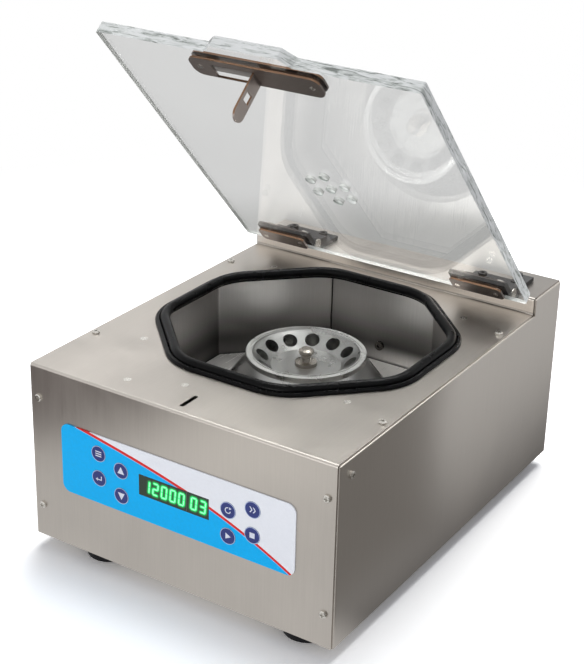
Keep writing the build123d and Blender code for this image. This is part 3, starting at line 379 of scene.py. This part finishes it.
def film_print(name):
    """Printed panel film: blue below, white above, a red line curving between them."""
    s = Shader(name)
    x, _, z = s.xyz()
    x_mm, z_mm = s.mul(x, 1 / MM), s.mul(z, 1 / MM)
    curve = FILM_CURVE[-1]
    for factor in reversed(FILM_CURVE[:-1]):
        curve = s.add(s.mul(x_mm, curve), factor)
    above = s.mul(s.sub(z_mm, curve), ACROSS_BORDER)
    grain = s.noise(500.0, 2.0, 0.5)
    blue, white = srgb(0, 184, 253), srgb(243, 245, 250)
    blue = s.ramp(grain, [(0.3, times(blue, 0.97)), (0.7, times(blue, 1.03))])
    white = s.ramp(grain, [(0.3, times(white, 0.985)), (0.7, times(white, 1.01))])
    ground = s.mix(s.span(above, -0.06, 0.06), blue, white)
    rim = s.sub(1.0, s.span(s.absolute(s.add(above, STRIPE_HALF)), 0.0, RIM_WIDTH))
    ground = s.mix(s.mul(rim, 0.65), ground, srgb(235, 238, 245))
    red = s.sub(1.0, s.span(s.absolute(above), STRIPE_HALF - 0.12, STRIPE_HALF + 0.12))
    s.set(Base_Color=s.mix(red, ground, srgb(228, 44, 44)), Roughness=s.span(grain, 0.3, 0.7, 0.40, 0.50),
          Specular_IOR_Level=0.2)
    s.bump(grain, 0.05, 0.04 * MM)
    return s.mat


def window_dark(name):
    """Smoked window, a little redder at its left end."""
    s = Shader(name)
    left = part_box("display_window")[0].x
    n = s.noise(400.0, 2.0, 0.5)
    near_left = s.span(s.xyz()[0], left - 0.65 * MM, left + 5.35 * MM, 1.0, 0.0)
    s.set(Base_Color=s.mix(near_left, srgb(16, 20, 15), srgb(44, 26, 26)),
          Roughness=s.span(n, 0.3, 0.7, 0.22, 0.28))
    return s.mat


def ink(name, colour):
    s = Shader(name)
    n = s.noise(600.0, 2.0, 0.5)
    s.set(Base_Color=s.ramp(n, [(0.3, times(colour, 0.96)), (0.7, times(colour, 1.02))]), Roughness=0.4)
    return s.mat


# Painted light and shade by place, as factors of the steel's colour

def cover_painted_light(s):
    """The rear block has painted shade that makes it duller than the deck, most at its right end, and the
    step between them has a painted highlight.

    The deck itself has painted shade towards its left edge and along the front half of its right side.
    """
    x, y, z = s.xyz()
    on_block = s.span(z, BLOCK_TOP - 1.5 * MM, BLOCK_TOP - 0.5 * MM)
    on_step = s.mul(s.span(z, DECK_TOP + 0.6 * MM, DECK_TOP + 2.1 * MM),
                    s.span(z, BLOCK_TOP - 2.0 * MM, BLOCK_TOP - 0.5 * MM, 1.0, 0.0))
    on_deck = s.mul(s.span(z, DECK_TOP - 0.7 * MM, DECK_TOP - 0.1 * MM),
                    s.span(z, DECK_TOP + 0.3 * MM, DECK_TOP + 1.1 * MM, 1.0, 0.0))
    block_end_shade = s.span(x, 70.0 * MM, 110.0 * MM, 0.05, 0.48)
    deck_left_shade = s.span(x, -120.0 * MM, -40.0 * MM, 0.18, 0.10)
    deck_right_shade = s.mul(s.span(x, 60.0 * MM, 110.0 * MM), s.span(y, 0.0, 90.0 * MM, 1.0, 0.0))
    deck_side_shade = s.add(s.span(deck_right_shade, 0.0, 1.0, 0.0, 0.12), deck_left_shade)
    painted_shade = s.add(s.mul(on_block, block_end_shade), s.mul(on_deck, deck_side_shade))
    return s.sub(s.add(1.0, s.mul(on_step, 0.90)), painted_shade)


def liner_painted_light(s):
    """Painted shade low in the chamber with a painted pool of light at its right foot; the lap behind the
    open seam has painted shade.
    """
    x, y, z = s.xyz()
    low_down = s.span(z, FLOOR_TOP + 2.2 * MM, FLOOR_TOP + 16.2 * MM, 1.0, 0.0)
    painted_foot_light = s.mul(low_down, s.span(x, -40.0 * MM, 40.0 * MM, 0.10, 1.4))
    shade = s.add(s.span(z, FLOOR_TOP + 10.2 * MM, FLOOR_TOP + 52.2 * MM, 0.10, 1.05), painted_foot_light)
    return s.mul(shade, s.span(y, LINER_BACK - 1.6 * MM, LINER_BACK - 1.2 * MM, 1.0, 0.03))


def floor_gap_shade(s):
    """Painted shade in a dark line where the floor plate meets the eight walls."""
    x, y, _ = s.xyz()
    side, along = s.absolute(x), s.absolute(s.sub(y, CHAMBER_Y))
    corner = s.mul(s.add(side, along), 2.0 ** -0.5)
    out = s.most(s.most(side, along), corner)
    return s.span(out, WALL_AT - 1.6 * MM, WALL_AT - 1.0 * MM, 1.0, 0.04)


def rotor_painted_light(s, radius, z):
    """The dish inside the rim is darker, the rim has a painted highlight, and the bores have painted light.
    """
    rim = s.mul(s.span(radius, *DISH_EDGE), s.span(z, *RIM_FOOT))
    shade = s.add(s.span(radius, *DISH_EDGE, 0.88, 1.06), s.mul(rim, 0.46))
    bank = s.add(s.mul(radius, BANK_SLOPE), RIM_TOP - BANK_FOOT_DROP - BANK_FOOT_R * BANK_SLOPE)
    under_bank = s.span(s.sub(bank, z), 0.3 * MM, 0.7 * MM)
    skirt = s.mul(s.sub(RIM_TOP - SKIRT_TOP_DROP, z), SKIRT_SLOPE)
    in_skirt = s.span(s.sub(radius, skirt), SKIRT_TOP_R - 0.2 * MM, SKIRT_TOP_R + 0.2 * MM, 1.0, 0.0)
    # Painted light inside the bores, below the bank line and inside the skirt
    return s.add(shade, s.mul(s.mul(under_bank, in_skirt), 0.9))


# The part's materials

STEEL = srgb(192, 186, 179)
LINER = srgb(204, 201, 199)
ALUMINIUM = srgb(163, 163, 161)
SPINDLE = (0.0, ROTOR_Y)
ACROSS_X, ACROSS_Y, ACROSS_BOTH = (1.0, 0.0, 0.0), (0.0, 1.0, 0.0), (1.0, 1.0, 0.0)

# The tones of the cover, liner, floor and rotor paint light and shade onto them
steel_cover = brushed("steel_cover", STEEL, ACROSS_X, grain=0.035, mottling=0.09, tone=cover_painted_light)
steel_tray = brushed("steel_tray", times(STEEL, 0.95), ACROSS_Y, grain=0.04)
steel_rear = brushed("steel_rear", STEEL, ACROSS_X)
liner_steel = brushed("liner_steel", LINER, ACROSS_BOTH, rough=0.34, grain=0.05, mottling=0.10, aniso=0.2,
                      tone=liner_painted_light)
floor_steel = brushed("floor_steel", srgb(248, 245, 240), ACROSS_X, rough=0.26, grain=0.05, metallic=0.35,
                      tone=floor_gap_shade)
rotor_metal = turned_metal("rotor_metal", ALUMINIUM, 0.30, SPINDLE, rotor_painted_light)
knob_metal = turned_metal("knob_metal", srgb(158, 152, 144), 0.17, SPINDLE)
screw_steel = plain_metal("screw_steel", srgb(205, 202, 196), 0.25)
zinc = plain_metal("zinc", srgb(180, 182, 186), 0.32)
dark_steel = plain_metal("dark_steel", srgb(78, 75, 72), 0.24)
brass = plain_metal("brass", srgb(200, 180, 130), 0.3)
laminations = plain_metal("laminations", srgb(110, 104, 98), 0.5)
bronze_plate = laser_cut("bronze_plate", srgb(132, 124, 120), srgb(134, 106, 86))
clear_acrylic = acrylic("clear_acrylic")
hinge_black = plastic("hinge_black", srgb(17, 16, 18), 0.42)
black_plastic = plastic("black_plastic", srgb(30, 30, 32), 0.45)
board_green = plastic("board_green", srgb(24, 86, 48), 0.4)
motor_paint = plastic("motor_paint", srgb(70, 72, 76), 0.4)
led_body = plastic("led_body", srgb(20, 20, 20), 0.4)
gasket_rubber = rubber("gasket_rubber", srgb(5, 5, 6), 0.28)
foot_rubber = rubber("foot_rubber", srgb(22, 22, 24), 0.6)

FINISH = {
    steel_cover: ["top_cover"],
    steel_tray: ["base_tray"],
    steel_rear: ["rear_panel"],
    liner_steel: ["chamber_liner"],
    floor_steel: ["chamber_floor"],
    rotor_metal: ["rotor"],
    knob_metal: ["rotor_knob", "drive_spindle"],
    screw_steel: ["cabinet_screws", "deck_studs", "lid_screws", "m3_screws", "m4_screws",
                  "hinge_pins", "fan_guard", "latch_bolt"],
    dark_steel: ["socket_screws"],
    zinc: ["m4_nuts", "liner_brackets", "motor_plate", "latch_bracket", "board_pillars"],
    bronze_plate: ["latch_plate", "latch_backing_plate", "hinge_clamp_plates"],
    hinge_black: ["hinge_lid_leaves", "hinge_block_leaves", "hinge_block_screws", "hinge_adjusters",
                  "heat_sink"],
    black_plastic: ["latch_solenoid", "lid_sensor", "board_components", "fan_frame", "fan_rotor",
                    "mains_inlet", "fuse_drawer", "switch_frame", "switch_rocker"],
    gasket_rubber: ["gasket"],
    foot_rubber: ["feet", "spindle_seal", "motor_isolators"],
    clear_acrylic: ["lid"],
    board_green: ["key_board", "drive_board"],
    brass: ["inlet_pins"],
    motor_paint: ["motor"],
    laminations: ["transformer"],
    led_body: ["display_modules"],
    film_print("film_print"): ["control_panel"],
    window_dark("window_dark"): ["display_window"],
    key_navy("key_navy"): ["key_menu", "key_enter", "key_up", "key_down", "key_force", "key_pulse",
                           "key_start", "key_stop"],
}
for material, names in FINISH.items():
    for name in names:
        slots = nodes[name].data.materials
        if len(slots):
            for i in range(len(slots)):
                slots[i] = material
        else:
            slots.append(material)


# Prints and figures made here, drawn in x and z with sizes in mm

def prism(bm, outline, centre, y_front, thick):
    """A flat shape round `centre`, its front face at y_front."""
    cx, cz = centre
    front = [bm.verts.new(((cx + x) * MM, y_front * MM, (cz + z) * MM)) for x, z in outline]
    back = [bm.verts.new((v.co.x, (y_front + thick) * MM, v.co.z)) for v in front]
    bm.faces.new(front)
    bm.faces.new(back[::-1])
    n = len(front)
    for i in range(n):
        bm.faces.new((front[i], back[i], back[(i + 1) % n], front[(i + 1) % n]))


def ring(bm, radius, width, centre, y_front, thick, start=0.0, sweep=360.0, material=0, steps=48):
    """A flat ring or arc of the same kind."""
    cx, cz = centre
    full = sweep >= 360.0
    section = ((radius, y_front), (radius - width, y_front), (radius - width, y_front + thick),
               (radius, y_front + thick))
    rows = []
    for i in range(steps if full else steps + 1):
        a = math.radians(start + sweep * i / steps)
        rows.append([bm.verts.new(((cx + r * math.cos(a)) * MM, y * MM, (cz + r * math.sin(a)) * MM))
                     for r, y in section])
    faces = []
    for a, b in list(zip(rows, rows[1:])) + ([(rows[-1], rows[0])] if full else []):
        for i in range(4):
            faces.append(bm.faces.new((a[i], a[(i + 1) % 4], b[(i + 1) % 4], b[i])))
    if not full:
        faces += [bm.faces.new(rows[0][::-1]), bm.faces.new(rows[-1])]
    for face in faces:
        face.material_index = material


def piece(name, bm, body, slot, *materials):
    bmesh.ops.recalc_face_normals(bm, faces=bm.faces)
    mesh = bpy.data.meshes.new(name)
    bm.to_mesh(mesh)
    bm.free()
    for m in materials:
        mesh.materials.append(m)
    obj = bpy.data.objects.new(name, mesh)
    scene.collection.objects.link(obj)
    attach(obj, body)


def box_mm(node):
    low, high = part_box(node)
    return low / MM, high / MM


def bar(x0, x1, z0, z1):
    return [(x0, z0), (x1, z0), (x1, z1), (x0, z1)]


def chevron(x):
    """An arrowhead without a stem that points right, its left end at x."""
    return [(x, -2.1), (x + 0.9, -2.1), (x + 2.5, 0.0), (x + 0.9, 2.1), (x, 2.1), (x + 1.6, 0.0)]


# The print on the keys: its thickness, the pale rim of each key with its margin, and the turning arrow's arc
PRINT = 0.05
KEY_MARGIN, KEY_RIM = 0.05, 0.42
ARC_R, ARC_WIDTH, ARC_START, ARC_SWEEP = 2.4, 0.7, 80.0, 270.0

SYMBOLS = {
    "key_menu": [bar(-2.6, 2.6, z - 0.4, z + 0.4) for z in (1.7, 0.0, -1.7)],
    "key_enter": [bar(1.7, 2.4, -0.6, 2.0), bar(-1.4, 2.4, -1.3, -0.6),
                  [(-2.9, -0.95), (-1.2, -2.3), (-1.2, 0.4)]],
    "key_up": [[(-2.9, -2.3), (2.9, -2.3), (0.0, 3.1)]],
    "key_down": [[(-2.9, 2.3), (0.0, -3.1), (2.9, 2.3)]],
    "key_force": [[(1.1, 2.9), (1.1, 0.9), (2.9, 1.9)]],
    "key_pulse": [chevron(-2.4), chevron(0.2)],
    "key_start": [[(-1.7, -2.3), (2.5, 0.0), (-1.7, 2.3)]],
    "key_stop": [bar(-2.0, 2.0, -2.0, 2.0)],
}

print_white = ink("print_white", srgb(226, 231, 244))
print_rim = ink("print_rim", srgb(186, 202, 236))
for name, shapes in SYMBOLS.items():
    low, high = box_mm(name)
    centre = ((low.x + high.x) / 2, (low.z + high.z) / 2)
    key_r = (high.x - low.x) / 2
    bm = bmesh.new()
    ring(bm, key_r - KEY_MARGIN, KEY_RIM, centre, low.y - PRINT, PRINT, material=1)
    for outline in shapes:
        prism(bm, outline, centre, low.y - PRINT, PRINT)
    if name == "key_force":
        ring(bm, ARC_R, ARC_WIDTH, centre, low.y - PRINT, PRINT, start=ARC_START, sweep=ARC_SWEEP, steps=30)
    piece(name + "_print", bm, name + "_body", "key_film", print_white, print_rim)


# Lit figures of the display: a fine sheet on the window that carries how far each point is from a lit bar

DIGIT_H, DIGIT_W, SLANT, RAISED = 10.0, 5.2, 0.09, 0.2
BARS = {"a": ((-1, 1), (1, 1)), "b": ((1, 1), (1, 0)), "c": ((1, 0), (1, -1)), "d": ((-1, -1), (1, -1)),
        "e": ((-1, 0), (-1, -1)), "f": ((-1, 1), (-1, 0)), "g": ((-1, 0), (1, 0))}
BAR_INSET, BAR_GAP, BAR_HALF, BAR_FADE = 0.6, 0.62, 0.20, 2.2
LIT = {"1": "bc", "2": "abged", "0": "abcdef", "3": "abgcd"}
# Each figure with its place across the window, as a share of the width, and the seam between the modules
CELLS = [("1", 0.118), ("2", 0.242), ("0", 0.366), ("0", 0.490), ("0", 0.614), ("0", 0.788), ("3", 0.916)]
SEAM, SEAM_HALF, SEAM_HALF_H, SEAM_PROUD, SEAM_THICK = 0.688, 0.12, 7.2, 0.06, 0.03
SHEET_MARGIN, SHEET_STEP, SHEET_PROUD = 0.35, 0.28, 0.02


def lit_bars(low, high):
    """The centre lines of all the lit bars, each a little short of its neighbours."""
    mid_z = (low.z + high.z) / 2 + RAISED
    bars = []
    for figure, at in CELLS:
        cx = low.x + (high.x - low.x) * at
        for letter in LIT[figure]:
            ends = []
            for sx, sz in BARS[letter]:
                z = sz * (DIGIT_H / 2 - BAR_INSET)
                ends.append((cx + sx * (DIGIT_W / 2 - BAR_INSET) + SLANT * z, mid_z + z))
            (xa, za), (xb, zb) = ends
            length = math.hypot(xb - xa, zb - za)
            gap_x, gap_z = (xb - xa) / length * BAR_GAP, (zb - za) / length * BAR_GAP
            bars.append((xa + gap_x, za + gap_z, xb - gap_x, zb - gap_z))
    return bars


def far_from(x, z, bars):
    best = math.inf
    for xa, za, xb, zb in bars:
        dx, dz = xb - xa, zb - za
        t = max(0.0, min(1.0, ((x - xa) * dx + (z - za) * dz) / (dx * dx + dz * dz)))
        best = min(best, math.hypot(x - xa - t * dx, z - za - t * dz))
    return best


def glow_material():
    s = Shader("lit_figures")
    far = s.node("ShaderNodeAttribute", attribute_name="far").outputs["Fac"]
    lit = s.ramp(far, [(0.00, (0.36, 1.0, 0.52)), (0.12, (0.03, 0.95, 0.26)), (0.26, (0.0, 0.72, 0.14)),
                       (0.40, (0.0, 0.28, 0.05)), (0.65, (0.0, 0.10, 0.02)), (1.0, (0.0, 0.012, 0.003))])
    s.set(Base_Color=s.ramp(far, [(0.3, srgb(12, 40, 16)), (1.0, srgb(14, 18, 14))]), Roughness=0.24,
          Emission_Color=lit, Emission_Strength=1.4)
    return s.mat


def lit_window(low, high):
    x0, x1 = low.x + SHEET_MARGIN, high.x - SHEET_MARGIN
    z0, z1 = low.z + SHEET_MARGIN, high.z - SHEET_MARGIN
    nx, nz = round((x1 - x0) / SHEET_STEP), round((z1 - z0) / SHEET_STEP)
    bars = lit_bars(low, high)
    y = (low.y - SHEET_PROUD) * MM
    bm = bmesh.new()
    layer = bm.verts.layers.float.new("far")
    grid = []
    for j in range(nz + 1):
        z = z0 + (z1 - z0) * j / nz
        row = []
        for i in range(nx + 1):
            x = x0 + (x1 - x0) * i / nx
            v = bm.verts.new((x * MM, y, z * MM))
            v[layer] = min(1.0, max(0.0, far_from(x, z, bars) - BAR_HALF) / BAR_FADE)
            row.append(v)
        grid.append(row)
    for a, b in zip(grid, grid[1:]):
        for i in range(nx):
            bm.faces.new((a[i], a[i + 1], b[i + 1], b[i]))
    piece("lit_figures", bm, "cabinet", "window_film", glow_material())


def module_seam(low, high):
    """The grey line where the two display modules meet."""
    centre = (low.x + (high.x - low.x) * SEAM, (low.z + high.z) / 2)
    bm = bmesh.new()
    outline = bar(-SEAM_HALF, SEAM_HALF, -SEAM_HALF_H, SEAM_HALF_H)
    prism(bm, outline, centre, low.y - SEAM_PROUD, SEAM_THICK)
    piece("module_seam", bm, "cabinet", "window_film", ink("seam_grey", srgb(96, 100, 96)))


lit_window(*box_mm("display_window"))
module_seam(*box_mm("display_window"))


# Floor, lights and camera, in metres

# Centres of two patches that only mirrors see, which give the front its dark left and its bright middle
BRIGHT_PATCH = (-0.10, -0.42)
DARK_PATCH = (-0.32, -0.43)
FLOOR_HALF = 6.0
# A dark card beside the right-hand panel, seen in reflections alone
CARD_X, CARD_FRONT, CARD_END, CARD_TOP = 0.165, -0.60, 0.02, 0.17
LAMP_AIM = (0.0, 0.0, 0.1)


def floor_material():
    """White floor that keeps the object's shadow; metal mirrors a soft, uneven studio floor in it."""
    s = Shader("floor_white")
    s.tree.nodes.remove(s.bsdf)
    path = s.node("ShaderNodeLightPath")
    wide = s.noise(3.0, 2.0, 0.5)
    x, y, _ = s.xyz()

    def near(place, low, high):
        return s.span(s.away(x, y, place), low, high, 1.0, 0.0)

    mirrored = s.ramp(wide, [(0.3, (0.80, 0.80, 0.80)), (0.7, (0.83, 0.83, 0.83))])
    mirrored = s.mix(near(BRIGHT_PATCH, 0.03, 0.17), mirrored, (1.22, 1.22, 1.20))
    mirrored = s.mix(near(DARK_PATCH, 0.10, 0.22), mirrored, (0.09, 0.065, 0.065))
    # Under and behind the body the floor mirrors dark, a painted shadow that only mirrors see
    beside = s.mul(s.span(y, -0.16, -0.10), s.span(x, 0.10, 0.25, 1.0, 0.0))
    mirrored = s.mix(beside, mirrored, (0.15, 0.145, 0.145))
    # Through the lid the floor is grey, and paler far behind
    behind = s.span(s.sub(y, s.mul(x, 0.8)), 0.74, 0.96)
    through = s.mix(behind, (0.58, 0.58, 0.57), (0.83, 0.83, 0.83))
    glow = s.emission(s.mix(path.outputs["Is Transmission Ray"], mirrored, through))

    # The camera sees a diffuse floor with the shadow on it, and plain white farther out
    plain = s.diffuse(s.ramp(wide, [(0.3, (0.79, 0.79, 0.80)), (0.7, (0.81, 0.81, 0.81))]))
    shadowed = s.node("ShaderNodeAddShader")
    s.put(shadowed.inputs[0], s.diffuse((1.0, 1.0, 1.0, 1.0)).outputs[0])
    s.put(shadowed.inputs[1], s.diffuse((0.46, 0.46, 0.45, 1.0)).outputs[0])
    paper = s.emission((1.0, 1.0, 1.0, 1.0))
    far = s.sub(1.0, near((0.0, 0.0), 0.50, 0.85))
    lit = s.choose(path.outputs["Is Camera Ray"], plain, s.choose(far, shadowed, paper))
    seen = s.most(path.outputs["Is Glossy Ray"], path.outputs["Is Transmission Ray"])
    s.surface(s.choose(seen, lit, glow))
    return s.mat


def card_material():
    s = Shader("card_grey")
    s.surface(s.emission((0.27, 0.26, 0.25, 1.0)))
    return s.mat


def flat_sheet(name, corners, material):
    bm = bmesh.new()
    bm.faces.new([bm.verts.new(corner) for corner in corners])
    mesh = bpy.data.meshes.new(name)
    bm.to_mesh(mesh)
    bm.free()
    mesh.materials.append(material)
    obj = bpy.data.objects.new(name, mesh)
    scene.collection.objects.link(obj)
    return obj


floor_corners = [(x * FLOOR_HALF, y * FLOOR_HALF, 0.0) for x, y in ((-1, -1), (1, -1), (1, 1), (-1, 1))]
floor = flat_sheet("floor", floor_corners, floor_material())

card = flat_sheet("card", [(CARD_X, CARD_FRONT, 0.0), (CARD_X, CARD_END, 0.0), (CARD_X, CARD_END, CARD_TOP),
                           (CARD_X, CARD_FRONT, CARD_TOP)], card_material())
card.visible_camera = card.visible_diffuse = card.visible_transmission = card.visible_shadow = False
card.visible_volume_scatter = False


def studio_world():
    """White to the camera and to mirrors, a light grey through the lid, and a cool grey as lighting."""
    world = bpy.data.worlds.new("studio")
    world.use_nodes = True
    tree = world.node_tree
    background = tree.nodes["Background"]
    path = tree.nodes.new("ShaderNodeLightPath").outputs

    def either(a, b):
        n = tree.nodes.new("ShaderNodeMath")
        n.operation = "MAXIMUM"
        tree.links.new(a, n.inputs[0])
        tree.links.new(b, n.inputs[1])
        return n.outputs[0]

    def mix(fac, b):
        n = tree.nodes.new("ShaderNodeMix")
        n.data_type = "RGBA"
        tree.links.new(fac, n.inputs[0])
        n.inputs[7].default_value = b
        return n

    seen = either(either(path["Is Camera Ray"], path["Is Transmission Ray"]), path["Is Glossy Ray"])
    plain = mix(seen, (1.0, 1.0, 1.0, 1.0))
    plain.inputs[6].default_value = (0.37, 0.38, 0.41, 1.0)
    dimmed = mix(path["Is Transmission Ray"], (0.72, 0.72, 0.71, 1.0))
    tree.links.new(plain.outputs[2], dimmed.inputs[6])
    tree.links.new(dimmed.outputs[2], background.inputs["Color"])
    background.inputs["Strength"].default_value = 1.0
    return world


scene.world = studio_world()


def area(name, place, size, power):
    data = bpy.data.lights.new(name, "AREA")
    data.shape = "RECTANGLE"
    data.size, data.size_y = size
    data.energy = power
    lamp = bpy.data.objects.new(name, data)
    scene.collection.objects.link(lamp)
    lamp.location = place
    lamp.rotation_euler = (Vector(LAMP_AIM) - Vector(place)).to_track_quat("-Z", "Y").to_euler()


area("key_light", (-0.16, 0.66, 1.80), (1.4, 1.4), 36.0)
area("front_fill", (0.10, -2.3, 0.24), (1.8, 0.36), 15.0)

# The camera fitted to the photo: its place in metres, and in degrees its turn, its look down and its roll
CAMERA_AT = (0.552437, -0.895582, 0.625675)
CAMERA_TURN, CAMERA_DOWN, CAMERA_ROLL = (math.radians(a) for a in (32.823, 23.422, 1.258))
CAMERA_LENS, CAMERA_SENSOR = 84.93, 36.0
CAMERA_SHIFT = (0.0155, -0.0508)


def photo_camera():
    data = bpy.data.cameras.new("camera")
    data.sensor_fit = "VERTICAL"
    data.sensor_height = CAMERA_SENSOR
    data.lens = CAMERA_LENS
    data.shift_x, data.shift_y = CAMERA_SHIFT
    data.clip_start = 10.0 * MM
    camera = bpy.data.objects.new("camera", data)
    scene.collection.objects.link(camera)
    ahead = Vector((-math.sin(CAMERA_TURN) * math.cos(CAMERA_DOWN),
                    math.cos(CAMERA_TURN) * math.cos(CAMERA_DOWN), -math.sin(CAMERA_DOWN)))
    level = ahead.cross(Vector((0, 0, 1))).normalized()
    upright = level.cross(ahead)
    side = level * math.cos(CAMERA_ROLL) + upright * math.sin(CAMERA_ROLL)
    up = upright * math.cos(CAMERA_ROLL) - level * math.sin(CAMERA_ROLL)
    turn = Matrix((side, up, -ahead)).transposed().to_4x4()
    camera.matrix_world = Matrix.Translation(CAMERA_AT) @ turn
    return camera


scene.camera = photo_camera()

scene.view_settings.view_transform = "Standard"
